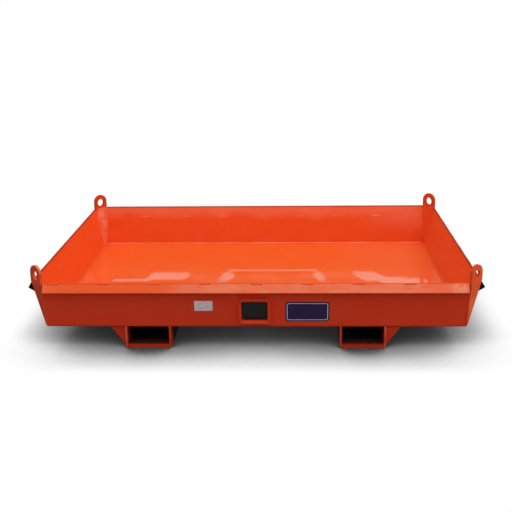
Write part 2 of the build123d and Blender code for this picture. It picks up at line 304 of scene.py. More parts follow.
def corner_painted_reflection(look):
    """A painted reflection beside the rear left corner's weld, speckled, in a strip that slants with the
    plate there.
    """
    speckled_sheen = look.ramp(look.noise(34.0, 5.0), 0.35, 0.62, 0.25, 0.60)
    beside = look.math("MULTIPLY_ADD", look.noise(14.0, 4.0), SHEEN_STRIP_WANDER, look.axis("Y"))
    beside = look.math("MULTIPLY_ADD", look.axis("Z"), -SHEEN_STRIP_SLANT, beside)
    edge = HALF_WIDTH - FLOOR_TOP * SHEEN_STRIP_SLANT - SHEEN_STRIP_WIDTH
    speckled_sheen = look.times(speckled_sheen, look.ramp("Z", FLOOR_TOP, LUG_NECK, 0.65, 1.35))
    near = look.times(look.ramp(beside, edge, edge + SHEEN_STRIP_EDGE), speckled_sheen)
    return look.times(near, look.ramp("X", -HALF_LENGTH / 2, 0.0, 1.0, 0.0))


def side_painted_sheen(look):
    """The painted sheen on the side walls' inner faces: that painted reflection, and a faint paler haze to
    the right.
    """
    haze = look.ramp("X", 0.0, HALF_LENGTH, 0.0, 0.06)
    return look.math("MAXIMUM", corner_painted_reflection(look), haze)


def edge_wear(look):
    """How worn the walls' top edges are: most on the side walls, least on the front one."""
    patchy = look.ramp(look.noise(24.0, 4.0), 0.35, 0.65, 0.44, 0.66)
    patchy = look.times(patchy, look.ramp("Z", *past(WALL_TOP, WEAR_RISE)))
    beyond = look.math("ABSOLUTE", look.axis("X"))
    long_walls = look.ramp("Y", -HALF_WIDTH, HALF_WIDTH, 0.30, 0.70)
    return look.times(patchy, look.ramp(beyond, *past(HALF_LENGTH, WEAR_SIDES), long_walls, 1.0))


def lug_painted_reflection(look):
    """The same painted reflection up the plate in that corner, below its lug."""
    below = look.ramp("Z", LUG_SHEEN_LOW, LUG_NECK, 1.0, 0.0)
    return look.times(below, corner_painted_reflection(look))


def crown_painted_highlight(look):
    """A painted highlight round the top of the lugs' edges."""
    return look.ramp("Z", *past(LUG_NECK, CROWN_RISE), 0.0, 0.60)


def head_tinge(look):
    """A dark tinge on the lugs' heads, uneven in strength."""
    patchy = look.ramp(look.noise(26.0, 4.0), 0.35, 0.65, 0.06, 0.20)
    head = look.ramp("Z", *past(LUG_NECK, HEAD_TINGE_RISE))
    return look.times(head, patchy)


def rim_sheen_and_scuffs(look):
    """The rims' painted sheen, mottled: a little at the left end and more to the right of the middle, with
    scuffs at a place near the right end.
    """
    along = look.axis("X")
    mottled = look.ramp(look.noise(40.0, 6.0, (0.35, 1.0, 1.0)), 0.32, 0.68, 0.50, 1.0)
    left_end = look.ramp(along, *RIM_LEFT_END, 0.30, 0.0)
    share = look.math("MAXIMUM", left_end, look.ramp(along, *RIM_PALE_ALONG, 0.10, 0.74))
    share = look.times(share, look.ramp(along, *RIM_LESS_SHEEN_ALONG, 1.0, 0.62))
    mottled_sheen = look.times(mottled, share)
    near = look.math("ABSOLUTE", look.math("SUBTRACT", along, SCUFF_MIDDLE))
    scuffs = look.ramp(look.noise(75.0, 6.0), 0.40, 0.54)
    scuffed = look.times(look.ramp(near, 0.0, SCUFF_REACH, 2.0, 0.0), scuffs)
    return look.math("MAXIMUM", mottled_sheen, scuffed)


def under_painted_shade(look):
    """Painted shade under the floor: full enamel at the front and rear edges, near-black further in."""
    inside = look.math("ABSOLUTE", look.axis("Y"))
    return look.ramp(inside, *past(HALF_WIDTH, UNDER_SHADE_DEPTH), 1.0, 0.0)


def guard_painted_shadow(look):
    """A painted shadow along the top of the rating plate's guard, under the rim."""
    return look.ramp("Z", *past(GUARD_TOP, GUARD_SHADOW_RISE), 0.0, 0.25)


def pocket_painted_shade(look):
    """Painted shade on a pocket's floor: dark from just behind its front and rear edges, and darker along
    the top of its front edge.
    """
    inside = look.math("ABSOLUTE", look.axis("Y"))
    painted = look.ramp(inside, *past(HALF_WIDTH, POCKET_EDGE), 0.28, 1.0)
    painted = look.times(painted, look.ramp(inside, *past(HALF_WIDTH, POCKET_SHADE_DEPTH)))
    lip = look.ramp("Z", *past(POCKET_LIP, LIP_RISE), 1.0, 0.35)
    return look.math("SUBTRACT", 1.0, look.times(painted, lip))


def bare_steel_and_shade():
    """Steel that the spray didn't reach, almost black, dull and scaly, which also stands for the shade in
    the rims' hollows and on their ends.
    """
    look = Look("bare_steel_and_shade", Specular_IOR_Level=0.1)
    scale = look.ramp(look.noise(60.0, 5.0), 0.35, 0.7)
    tone = look.mix(scale, shade(BARE_STEEL_AND_SHADE, 0.7), shade(STEEL_SCALE))
    rough = look.ramp(look.noise(30.0, 4.0), 0.3, 0.7, 0.75, 0.95)
    return look.finish(tone, rough, look.bump(look.noise(120.0, 4.0), SCALE_HEIGHT))


def metal(name, tones, gloss, spots, stretch=(1, 1, 1), **values):
    """Metal with a fine grain that changes its tone and its roughness."""
    look = Look(name, **values)
    grain = look.noise(spots, 4.0, stretch)
    rough = look.ramp(grain, 0.3, 0.7, *gloss)
    tone = look.mix(grain, *map(shade, tones))
    return look.finish(tone, rough, look.bump(grain, METAL_GRAIN))


def plate_ruling():
    """Grey filled lines on the black plate."""
    look = Look("plate_ruling", Specular_IOR_Level=0.12)
    worn = look.ramp(look.noise(300.0, 4.0), 0.35, 0.7)
    return look.finish(look.mix(worn, *map(shade, RULING_GREY)), look.ramp(worn, 0.0, 1.0, 0.4, 0.6))


def vinyl(name, color, dirt, soiling, shine):
    """Plain coloured sheet with a little grime and a pebbled gloss."""
    look = Look(name, Specular_IOR_Level=shine)
    grime = look.ramp(look.noise(38.0, 6.0), 0.42, 0.75, 0.0, soiling)
    rough = look.ramp(look.noise(24.0, 4.0), 0.3, 0.7, 0.28, 0.5)
    pebbles = look.bump(look.noise(150.0, 3.0), PEBBLE_HEIGHT)
    return look.finish(look.mix(grime, shade(color), shade(dirt)), rough, pebbles)


# The floor: with a painted sheen over its right part
floor_enamel = enamel(
    "floor_enamel", FLOOR_ORANGE, film=0.04, gloss=(0.05, 0.12), grain=0.5, shine=0.4, painted_sheen_at=floor_painted_sheen
)
# The side walls' inner faces: with painted sheen and reflection, and worn top edges
inside_enamel = enamel(
    "inside_enamel", SIDE_ORANGE, film=0.02, grain=0.25, painted_sheen_at=side_painted_sheen, wear_and_shade_at=edge_wear
)
# The rear wall's inner face: with a painted reflection along its top and up its right end, and worn top
# edges
rear_enamel = enamel("rear_enamel", REAR_ORANGE, grain=0.6, painted_sheen_at=rear_painted_reflection, wear_and_shade_at=edge_wear)
ridge_enamel = enamel("ridge_enamel", RIM_ORANGE, film=0.60)
# The outer faces: a deeper red, shaded copy of the enamel
outside_enamel = enamel("outside_enamel", OUTSIDE_ORANGE, film=0.02)
# The guard: with a painted shadow along its top
guard_enamel = enamel("guard_enamel", OUTSIDE_ORANGE, film=0.10, wear_and_shade_at=guard_painted_shadow)
# Under the floor, the pockets and the gussets: a darker copy of the enamel as painted shade, near-black
# further in
under_shade_enamel = enamel("under_shade_enamel", UNDER_SHADE_ORANGE, film=0.02, wear_and_shade_at=under_painted_shade)
# The pockets' side plates' ends: a painted highlight
edge_highlight_enamel = enamel("edge_highlight_enamel", UNDER_SHADE_ORANGE, film=0.55)
# The pockets' floors: painted shade
pocket_shade_enamel = enamel("pocket_shade_enamel", UNDER_SHADE_ORANGE, film=0.02, wear_and_shade_at=pocket_painted_shade)
# The rims: a paler, lit copy of the enamel with painted sheen and real scuffs
rim_enamel = enamel("rim_enamel", RIM_ORANGE, shine=0.02, painted_sheen_at=rim_sheen_and_scuffs)
stitch_enamel = enamel("stitch_enamel", STITCH_ORANGE, film=0.10)
seam_enamel = enamel("seam_enamel", SEAM_ORANGE, film=0.02, grain=0.3, shine=0.0)
# The rear floor bead: a paler copy with strong pale patches as painted highlights
weld_enamel = enamel("weld_enamel", WELD_ORANGE, film=0.45, grain=0.6, shine=0.20)
# Near-black bare steel, which also stands for shade in the rims' hollows and on their ends
bare = bare_steel_and_shade()


# Mesh helpers, and the mesh steps that several pieces share

COARSE = 0.020
FINE = 0.005


def smoothstep(low, high, value):
    """0 up to low, 1 from high on, and a smooth step between."""
    share = min(1.0, max(0.0, (value - low) / (high - low)))
    return share * share * (3.0 - 2.0 * share)


def stations(low, high, step):
    """Evenly spaced values from low to high, about step apart."""
    count = max(1, round((high - low) / step))
    return [low + (high - low) * index / count for index in range(count + 1)]


def on_side(side, along, out, up):
    """A point given along a wall, out from its outer face and up its slope."""
    facing, edge, _ = SIDES[side]
    way = UP.cross(facing)
    beyond = up * LEAN_SIN + out * LEAN_COS
    height = FLOOR_TOP + up * LEAN_COS - out * LEAN_SIN
    return facing * (edge + beyond) + way * along + UP * height


def stitch_middles(run):
    """Places along a wall of the rim's stitches, evenly spaced from one end."""
    first = STITCH_END_GAP + STITCH_LENGTH / 2 - run / 2
    count = 1 + int((run - 2 * STITCH_END_GAP - STITCH_LENGTH) // STITCH_PITCH)
    return [first + index * STITCH_PITCH for index in range(count)]


def link(name, data):
    """A new object in the scene."""
    added = bpy.data.objects.new(name, data)
    scene.collection.objects.link(added)
    return added


def add_piece(name, grown, materials, replaced, edge=0.0, sharp=None):
    """Put a bmesh in place of CAD nodes, its edges softened by edge or sharp from some degrees on."""
    bmesh.ops.recalc_face_normals(grown, faces=grown.faces)
    mesh = bpy.data.meshes.new(name)
    grown.to_mesh(mesh)
    grown.free()
    mesh.shade_smooth()
    if sharp:
        mesh.set_sharp_from_angle(angle=radians(sharp))
    for material in materials:
        mesh.materials.append(material)
    piece = link(name, mesh)
    if edge:
        soft = piece.modifiers.new("soft_edges", "BEVEL")
        soft.width = edge
        soft.segments = 2
        soft.limit_method = "ANGLE"
        soft.angle_limit = radians(35)
        soft.harden_normals = True
    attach(piece, "root")
    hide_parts(*replaced)


def bridge(grown, ring, after, finish=0, closed=True):
    """Quads between two rows of points. finish is their material, or gives it for each index."""
    count = len(ring)
    for index in range(count if closed else count - 1):
        beside = (index + 1) % count
        quad = grown.faces.new((ring[index], ring[beside], after[beside], after[index]))
        quad.material_index = finish(index) if callable(finish) else finish


def add_skin(grown, rings, closed=False, finish=0, end_finish=0):
    """A skin over rings of points, closed back to the first ring or by a face at each end."""
    following = rings[1:] + rings[:1] if closed else rings[1:]
    for ring, after in zip(rings, following):
        bridge(grown, ring, after, finish)
    if not closed:
        for ring in (rings[0], rings[-1]):
            grown.faces.new(ring).material_index = end_finish


def add_sheet(grown, columns, rows, place, finish, edge_finish=0):
    """A closed plate between an outer grid of points, face 0, and an inner one, face 1.

    place(column, row, face) gives a point, and finish(face, column, row) a quad's material.
    """
    grids = []
    for face in (0, 1):
        grids.append([[grown.verts.new(place(column, row, face)) for column in columns] for row in rows])
    for face, grid in enumerate(grids):
        for low, high, row in zip(grid, grid[1:], rows):
            bridge(grown, low, high, lambda index: finish(face, columns[index], row), closed=False)
    rims = []
    for grid in grids:
        right = [row[-1] for row in grid[1:-1]]
        left = [row[0] for row in grid[1:-1]]
        rims.append(grid[0] + right + grid[-1][::-1] + left[::-1])
    bridge(grown, *rims, edge_finish)


def add_sweep(grown, section, path, place, closed=False, finish=0, end_finish=0):
    """A closed skin along a path. place(station, a, b) gives the point of a section's (a, b)."""
    rings = [[grown.verts.new(place(station, *point)) for point in section] for station in path]
    add_skin(grown, rings, closed, finish, end_finish)


def rounded_box(width, height, radius, steps=6):
    """Points and outward ways round a rectangle about the origin, its corners as arcs."""
    outline = []
    for quarter, (x_sign, y_sign) in enumerate(((1, 1), (-1, 1), (-1, -1), (1, -1))):
        middle = Vector((x_sign * (width / 2 - radius), y_sign * (height / 2 - radius)))
        for step in range(steps + 1):
            turn = pi / 2 * (quarter + step / steps)
            way = Vector((cos(turn), sin(turn)))
            outline.append((middle + way * radius, way))
    return outline


# Floor and walls

# Mesh steps, softened edges, the height of slow waves and how far from held edges these die out
FLOOR_GRID = 0.010
WALL_COLUMN = 0.0115
WALL_ROW = 0.014
FLOOR_SOFT = 0.0008
WALL_SOFT = 0.0009
SHEET_WAVE = 0.0008
EDGE_CALM = 0.10
END_CALM = 0.050
WALL_CALM = 0.06

# The floor's long swell: its height, its place from front to rear and its reach
SWELL_HEIGHT = 0.0098
SWELL_MIDDLE = -0.215
SWELL_REACH = 0.165

# Shallow buckles in the floor: place along X and Y, half length along X, reach along Y, tilt and slant.
# They lie over the fork pockets and between them, where the welds below have drawn the plate.
BUCKLE_EDGE = 0.035
BUCKLES = [
    (-0.868, 0.010, 0.034, 0.110, 0.037, 0.0),
    (-0.640, -0.035, 0.090, 0.042, 0.032, 0.0),
    (-0.462, 0.035, 0.098, 0.115, 0.042, 0.0),
    (-0.164, 0.030, 0.028, 0.175, 0.034, 0.03),
    (0.060, 0.134, 0.215, 0.033, 0.036, 0.0),
    (0.294, 0.030, 0.020, 0.175, 0.034, -0.065),
    (0.545, 0.026, 0.057, 0.145, 0.042, -0.14),
    (0.655, -0.052, 0.055, 0.112, 0.038, 0.0),
    (0.770, -0.066, 0.060, 0.105, 0.036, 0.0),
    (0.858, -0.066, 0.028, 0.095, 0.033, 0.0),
]


def floor_height(x, y):
    """How far the floor's top is out of flat: a swell and buckles, and nothing at its ends."""
    held = smoothstep(0.0, EDGE_CALM, HALF_LENGTH - abs(x))
    held *= smoothstep(0.0, EDGE_CALM, HALF_WIDTH - abs(y))
    height = SHEET_WAVE * held * noise.noise(Vector((x * 2.1, y * 2.6, 3.7)))
    height += SWELL_HEIGHT * exp(-(((y - SWELL_MIDDLE) / SWELL_REACH) ** 2))
    for middle_x, middle_y, half, reach, tilt, slant in BUCKLES:
        beyond = y - middle_y
        across = abs(x - middle_x - slant * beyond)
        side = 1.0 - smoothstep(half - BUCKLE_EDGE / 2, half + BUCKLE_EDGE / 2, across)
        height += side * tilt * beyond * exp(-((beyond / reach) ** 2))
    return height * smoothstep(0.0, END_CALM, HALF_LENGTH - abs(x))


def make_floor():
    grown = bmesh.new()

    def place(x, y, face):
        return Vector((x, y, FLOOR_TOP + floor_height(x, y) if face else FLOOR_UNDER))

    columns = stations(-HALF_LENGTH, HALF_LENGTH, FLOOR_GRID)
    rows = stations(-HALF_WIDTH, HALF_WIDTH, FLOOR_GRID)
    add_sheet(grown, columns, rows, place, lambda face, x, y: 1 - face, edge_finish=1)
    add_piece("floor_sheet", grown, [floor_enamel, under_shade_enamel], ["floor_plate"], FLOOR_SOFT)


def wall_wave(side, along, up):
    """How far a wall is out of flat: nothing along its foot and its top."""
    seed = 10.0 * list(SIDES).index(side)
    held = smoothstep(0.0, WALL_CALM, up) * smoothstep(0.0, WALL_CALM, WALL_SLOPE - up)
    return SHEET_WAVE * held * noise.noise(Vector((along * 2.6, up * 5.0, seed)))


# Ridges behind the rim's lower stitches: height, reach up the slope, and the mesh's finer rows there
RIDGE_HEIGHT = 0.0011
RIDGE_REACH = 0.004
RIDGE_ROW = 0.0015
RIDGE_ROWS = 6
RIDGE_CLEAR = 0.013

# The order of a wall's materials
INSIDE, OUTSIDE, HIDDEN, RIDGE, UPPER = range(5)


def stitch_ridge(along, up, run):
    """How far the heat of the rim's lower stitches has raised the wall's inner face."""
    nearest = min(abs(along - middle) for middle in stitch_middles(run))
    length = 1.0 - smoothstep(STITCH_LENGTH * 0.35, STITCH_LENGTH * 0.60, nearest)
    height = exp(-(((up - RIM_BOTTOM) / RIDGE_REACH) ** 2))
    return RIDGE_HEIGHT * length * height


def make_wall(side):
    run = SIDES[side][2]
    grown = bmesh.new()

    def place(along, row, face):
        foot = -WALL_THICKNESS * LEAN_TAN if face else 0.0
        up = foot + row * (WALL_SLOPE - foot)
        out = wall_wave(side, along, row * WALL_SLOPE)
        if face:
            out -= WALL_THICKNESS + stitch_ridge(along, up, run)
        return on_side(side, along, out, up)

    def finish(face, along, row):
        up = row * WALL_SLOPE
        if face:
            marked = side == "rear" and stitch_ridge(along, up, run) > RIDGE_HEIGHT / 3
            return RIDGE if marked else INSIDE
        # On the outer face: the deeper red shaded copy, then near-black bare steel in the rim's hollow as
        # painted shade, then the rim's pale lit copy above it
        if up < RIM_MIDDLE:
            return OUTSIDE
        return HIDDEN if up < RIM_TOP - RIM_SKIN * 1.5 else UPPER

    fine = [RIM_BOTTOM + RIDGE_ROW * step for step in range(-RIDGE_ROWS, RIDGE_ROWS + 1)]
    coarse = stations(0.0, WALL_SLOPE, WALL_ROW)
    hidden = [RIM_BOTTOM + RIM_SKIN * 2, RIM_TOP - RIM_SKIN]
    levels = [level for level in coarse if abs(level - RIM_BOTTOM) > RIDGE_CLEAR] + fine + hidden
    rows = [level / WALL_SLOPE for level in sorted(levels)]
    add_sheet(grown, stations(-run / 2, run / 2, WALL_COLUMN), rows, place, finish)
    inner = rear_enamel if side == "rear" else inside_enamel
    materials = [inner, outside_enamel, bare, ridge_enamel, rim_enamel]
    node = side + ("_wall" if side in LONG_SIDES else "_end_wall")
    add_piece(node + "_sheet", grown, materials, [node], WALL_SOFT)


make_floor()
for side in SIDES:
    make_wall(side)


# Rim angles

RIM_APEX_RADIUS = 0.003
RIM_ROOT_RADIUS = 0.005
RIM_BOW = 0.0007
RIM_DENT = 0.0004
RIM_SOFT = 0.0006


def bend_points(reach, radius, steps=4):
    """The arc that rounds the rim's section where its legs meet, from the upper leg to the lower one."""
    middle = reach - radius * ROOT_TWO
    turns = [radians(45.0 - 90.0 * step / steps) for step in range(steps + 1)]
    return [(middle + radius * cos(turn), RIM_MIDDLE + radius * sin(turn)) for turn in turns]


def make_rim(side):
    run = SIDES[side][2]
    outer = bend_points(RIM_REACH, RIM_APEX_RADIUS)
    inner = bend_points(RIM_REACH - RIM_SKIN, RIM_ROOT_RADIUS)
    section = [(0.0, RIM_TOP)] + outer + [(0.0, RIM_BOTTOM), (0.0, RIM_BOTTOM + RIM_SKIN)]
    section += inner[::-1] + [(0.0, RIM_TOP - RIM_SKIN)]
    seed = 5.0 + list(SIDES).index(side)
    grown = bmesh.new()

    def place(along, out, up):
        bow = RIM_BOW * noise.noise(Vector((along * 3.0, seed, 0.5)))
        dent = RIM_DENT * noise.noise(Vector((along * 14.0, up * 30.0, seed)))
        return on_side(side, along, out + (bow + dent) * out / RIM_REACH, up)

    def finish(index):
        """The upper leg takes the pale, lit copy of the enamel and the lower one the deeper red, shaded
        copy, as painted light and shade; the inside is near-black bare steel, also as painted shade.
        """
        return 2 if index > len(outer) else int(index > len(outer) / 2)

    path = stations(-run / 2, run / 2, COARSE)
    # The open ends are near-black bare steel too, as painted shade
    add_sweep(grown, section, path, place, finish=finish, end_finish=2)
    materials = [rim_enamel, outside_enamel, bare]
    add_piece(side + "_rim", grown, materials, [side + "_rim_angle"], RIM_SOFT)


for side in SIDES:
    make_rim(side)


# Corner lug plates

LUG_SLANT = LEAN_TAN / ROOT_TWO
LUG_BEND = WALL_TOP + WALL_THICKNESS * LEAN_SIN
LUG_FOOT_IN = -(CORNER_SETBACK + WALL_FOOT) / ROOT_TWO
LUG_HEAD_IN = LUG_FOOT_IN + (LUG_BEND - FLOOR_TOP) * LUG_SLANT
LUG_HALF_FOOT = LUG_FOOT_WIDTH / 2
LUG_HALF_HEAD = LUG_HALF_FOOT + (LUG_BEND - FLOOR_TOP) * LUG_SLANT
LUG_EYE = LUG_BEND + LUG_EYE_RISE
LUG_CROWN = LUG_BEND + LUG_CROWN_RISE

# Mesh steps up the head and round the top, and the gap below the bend to the first row
LUG_HEAD_STEP = 0.006
LUG_TURN = pi / 40
LUG_BEND_GAP = 0.003
LUG_SOFT = 0.0012

# The paint of each lug's outer face, inner face and edge, and how much pale film it carries: lit and shaded
# copies of the enamel for each corner, with painted shade on the front left lug's outer face, painted light
# on the front right one's, and painted highlights on the front lugs' edges
LUG_PAINT = {
    "front_left": ((LUG_SHADE_ORANGE, 0.15), (SIDE_ORANGE, 0.05), (RIM_ORANGE, 0.05)),
    "front_right": ((LUG_LIT_ORANGE, 0.60), (SIDE_ORANGE, 0.05), (SIDE_ORANGE, 0.70)),
    "rear_right": ((OUTSIDE_ORANGE, 0.05), (REAR_ORANGE, 0.05), (LUG_ORANGE, 0.10)),
    "rear_left": ((OUTSIDE_ORANGE, 0.05), (LUG_ORANGE, 0.05), (LUG_ORANGE, 0.10)),
}


def lug_face(height, face):
    """How far out from the floor's corner a lug plate's outer (0) or inner (1) face is."""
    if face:
        return LUG_FOOT_IN + (min(height, LUG_BEND) - FLOOR_TOP) * LUG_SLANT
    leaning = LUG_FOOT_IN + LUG_THICKNESS * hypot(1.0, LUG_SLANT) + (height - FLOOR_TOP) * LUG_SLANT
    return min(LUG_HEAD_IN + LUG_THICKNESS, leaning)


def lug_arch():
    """(across, height) round the upright head, from one end of the bend to the other."""
    side = [(LUG_HALF_HEAD, height) for height in stations(LUG_BEND, LUG_CROWN, LUG_HEAD_STEP)]
    top = []
    for turn in stations(0.0, pi, LUG_TURN)[1:-1]:
        top.append((LUG_HALF_HEAD * cos(turn), LUG_CROWN + LUG_HALF_HEAD * sin(turn)))
    return side + top + [(-across, height) for across, height in side[::-1]]


def make_lug(corner):
    x_sign, y_sign = CORNERS[corner]
    origin = Vector((x_sign * HALF_LENGTH, y_sign * HALF_WIDTH, 0))
    diagonal = Vector((x_sign, y_sign, 0)).normalized()
    sideways = UP.cross(diagonal)
    grown = bmesh.new()

    def point(across, height, face):
        out = diagonal * lug_face(height, face)
        return grown.verts.new(origin + out + sideways * across + UP * height)

    arch = lug_arch()
    crossings = stations(-LUG_HALF_HEAD, LUG_HALF_HEAD, FINE)
    outline = arch + [(across, LUG_BEND) for across in crossings[1:-1]]
    hole = []
    for across, height in outline:
        way = Vector((across, height - LUG_EYE)).normalized() * LUG_HOLE_RADIUS
        hole.append((way.x, LUG_EYE + way.y))
    heights = stations(FLOOR_TOP, LUG_BEND - LUG_BEND_GAP, COARSE)[::-1]
    skins = []
    for face in (0, 1):
        rim = [point(*spot, face) for spot in outline]
        bore = [point(*spot, face) for spot in hole]
        bridge(grown, rim, bore, face)
        rows = [rim[len(arch) - 1 :] + rim[:1]]
        for height in heights:
            share = (LUG_HALF_FOOT + (height - FLOOR_TOP) * LUG_SLANT) / LUG_HALF_HEAD
            rows.append([point(across * share, height, face) for across in crossings])
        for row, below in zip(rows, rows[1:]):
            bridge(grown, row, below, face, closed=False)
        left_edge = [row[0] for row in rows[1:]]
        right_edge = [row[-1] for row in rows[1:]]
        skins.append((rim[: len(arch)] + left_edge + rows[-1][1:-1] + right_edge[::-1], bore))
    for outer, inner in zip(*skins):
        bridge(grown, outer, inner, 2)
    name = corner + "_lug"
    paints = []
    # Each face takes its lit or shaded copy of the enamel, its painted sheen or highlight, and the heads'
    # dark tinge
    for face, (color, film) in zip(("_outer", "_inner", "_edge"), LUG_PAINT[corner]):
        pale = crown_painted_highlight if name + face == "front_left_lug_edge" else lug_painted_reflection
        paints.append(enamel(name + face, color, film, shine=0.0, painted_sheen_at=pale, wear_and_shade_at=head_tinge))
    add_piece(name, grown, paints, [corner + "_lug_plate"], LUG_SOFT)


for corner in CORNERS:
    make_lug(corner)


# Fork pockets and gussets

POCKET_WAVE = 0.0005
POCKET_SOFT = 0.0010
GUSSET_SOFT = 0.0012


def make_pocket_plate(node):
    """A plate along a fork pocket, from the section that its box gives."""
    low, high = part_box(node)
    section = [(low.x, low.z), (high.x, low.z), (high.x, high.z), (low.x, high.z)]
    bottom = node.endswith("bottom_plate")
    if bottom:
        prep = BOTTOM_WELD
        under = [(low.x + prep, low.z), (high.x - prep, low.z), (high.x, low.z + prep)]
        section = under + section[2:] + [(low.x, low.z + prep)]
    grown = bmesh.new()

    def place(along, across, height):
        bow = POCKET_WAVE * noise.noise(Vector((along * 3.0, low.x * 7.0, 1.5)))
        return Vector((across + bow, along, height))

    def finish(index):
        """Painted shade on the top of the bottom plate."""
        return 2 if bottom and index == 3 else 0

    path = stations(low.y, high.y, COARSE)
    # The side plates' ends take a painted highlight, the bottom plate's ends the pocket's painted shade
    add_sweep(grown, section, path, place, finish=finish, end_finish=2 if bottom else 1)
    add_piece(node + "_steel", grown, [under_shade_enamel, edge_highlight_enamel, pocket_shade_enamel], [node], POCKET_SOFT)


def sided_box(node, side):
    """A node's box, and where along X its faces away from a side and towards it are."""
    low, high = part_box(node)
    near, far = (low.x, high.x) if side > 0 else (high.x, low.x)
    return low, high, near, far


def make_gusset(node, x_sign):
    low, high, root, tip = sided_box(node, x_sign)
    section = [(root, high.z - GUSSET_SNIPE), (root, low.z), (root + x_sign * GUSSET_NOSE, low.z)]
    section += [(tip, high.z - GUSSET_NOSE), (tip, high.z), (root + x_sign * GUSSET_SNIPE, high.z)]
    grown = bmesh.new()
    path = stations(low.y, high.y, FINE)
    add_sweep(grown, section, path, lambda along, across, height: Vector((across, along, height)))
    add_piece(node + "_steel", grown, [under_shade_enamel], [node], GUSSET_SOFT)


for hand, x_sign in HANDS.items():
    for plate in ("outer", "inner", "bottom"):
        make_pocket_plate(f"{hand}_pocket_{plate}_plate")
    for end in LONG_SIDES:
        make_gusset(f"{hand}_{end}_gusset", x_sign)


# Rating plate, guard, rivets, label and badge on the front wall

# The guard's rounded lip and the steps of its corners, and the plates' soft edges, raised lines and keyline
GUARD_LIP = 0.0022
GUARD_STEPS = 10
PLATE_SOFT = 0.0002
LINE_RISE = 0.0003
KEYLINE_MARGIN = 0.006
KEYLINE_WIDTH = 0.0025

# The rating plate's blank ruling: its lines' width, what it leaves free at the sides, and its lines' levels
# and its posts' height as shares of the plate's height
RULE_WIDTH = 0.0012
RULE_FREE = 0.022
RULE_LEVELS = (0.30, 0.16, 0.02, -0.12, -0.26)
RULE_MIDDLE = 0.02
RULE_HEIGHT = 0.56

# A rivet's head, as shares of its radius and height
RIVET_PROFILE = ((1.0, 0.0), (1.0, 0.25), (0.92, 0.55), (0.72, 0.82), (0.40, 0.96), (0.05, 1.0))
RIVET_SIDES = 28

# Satin black plate, brushed along X, and dull rivets: two tones, the range of roughness, the grain's spots
# to the metre and how these are drawn out
PLATE_BLACK = ((0.008, 0.008, 0.008), (0.016, 0.017, 0.015)), (0.36, 0.55), 90.0, (0.06, 1.0, 1.0)
RIVET_GREY = ((0.035, 0.035, 0.036), (0.090, 0.090, 0.092)), (0.35, 0.55), 700.0

# Sheets on the wall: their colour, the colour of their grime, how much of it, and their specular level
LABEL_WHITE = ((0.86, 0.70, 0.72), (0.56, 0.44, 0.45), 0.60, 0.6)
BADGE_NAVY = ((0.034, 0.022, 0.074), (0.050, 0.036, 0.080), 0.35, 0.05)
BADGE_PALE = ((0.80, 0.80, 0.90), (0.55, 0.53, 0.60), 0.35, 0.5)


def wall_extent(node, thickness):
    """Middle across, middle up the slope, width and height of a plate on the front wall, from its box."""
    low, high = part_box(node)
    bottom = (low.z - FLOOR_TOP + thickness * LEAN_SIN) / LEAN_COS
    top = (high.z - FLOOR_TOP) / LEAN_COS
    return (low.x + high.x) / 2, (bottom + top) / 2, high.x - low.x, top - bottom


def on_outline(across, up):
    """Gives the place function of sweeps round an outline about a middle on the front wall."""

    def place(station, inward, out):
        point, way = station
        spot = point - way * inward
        return on_side("front", across + spot.x, out, up + spot.y)

    return place


def add_slab(grown, outline, across, up, low, high, index=0):
    """A flat slab on the front wall: the outline's points about a middle, from low to high out."""
    place = on_outline(across, up)
    rings = [[grown.verts.new(place(station, 0.0, out)) for station in outline] for out in (low, high)]
    add_skin(grown, rings, finish=index, end_finish=index)


def wall_plate(node, thickness, radius):
    """A bmesh with a plain plate on the front wall, and the plate's middle and size."""
    across, up, width, height = wall_extent(node, thickness)
    grown = bmesh.new()
    add_slab(grown, rounded_box(width, height, radius), across, up, 0.0, thickness)
    return grown, across, up, width, height


def make_guard():
    across, up, width, height = wall_extent("rating_plate_guard", GUARD_DEPTH)
    outline = rounded_box(width, height, GUARD_RADIUS, GUARD_STEPS)
    lip = GUARD_LIP
    bend = GUARD_LIP * 0.3
    section = [(0.0, 0.0), (0.0, GUARD_DEPTH - lip), (bend, GUARD_DEPTH - bend), (lip, GUARD_DEPTH)]
    section += [(GUARD_WALL - inward, out) for inward, out in section[::-1]]
    grown = bmesh.new()
    add_sweep(grown, section, outline, on_outline(across, up), closed=True)
    add_piece("guard_frame", grown, [guard_enamel], ["rating_plate_guard"], sharp=50)


def make_rating_plate():
    grown, across, up, width, height = wall_plate("rating_plate", PLATE_THICKNESS, PLATE_RADIUS)
    field = width - RULE_FREE
    lines = [(field, RULE_WIDTH, 0.0, level) for level in RULE_LEVELS]
    post = height * RULE_HEIGHT + RULE_WIDTH
    lines += [(RULE_WIDTH, post, side * field / 2, RULE_MIDDLE) for side in (-1, 1)]
    for line_width, line_height, aside, level in lines:
        line = rounded_box(line_width, line_height, RULE_WIDTH * 0.4, 2)
        middle = across + aside, up + level * height
        add_slab(grown, line, *middle, PLATE_THICKNESS, PLATE_THICKNESS + LINE_RISE, 1)
    materials = [metal("black_plate", *PLATE_BLACK, Specular_IOR_Level=0.12), plate_ruling()]
    add_piece("blank_rating_plate", grown, materials, ["rating_plate"], PLATE_SOFT)


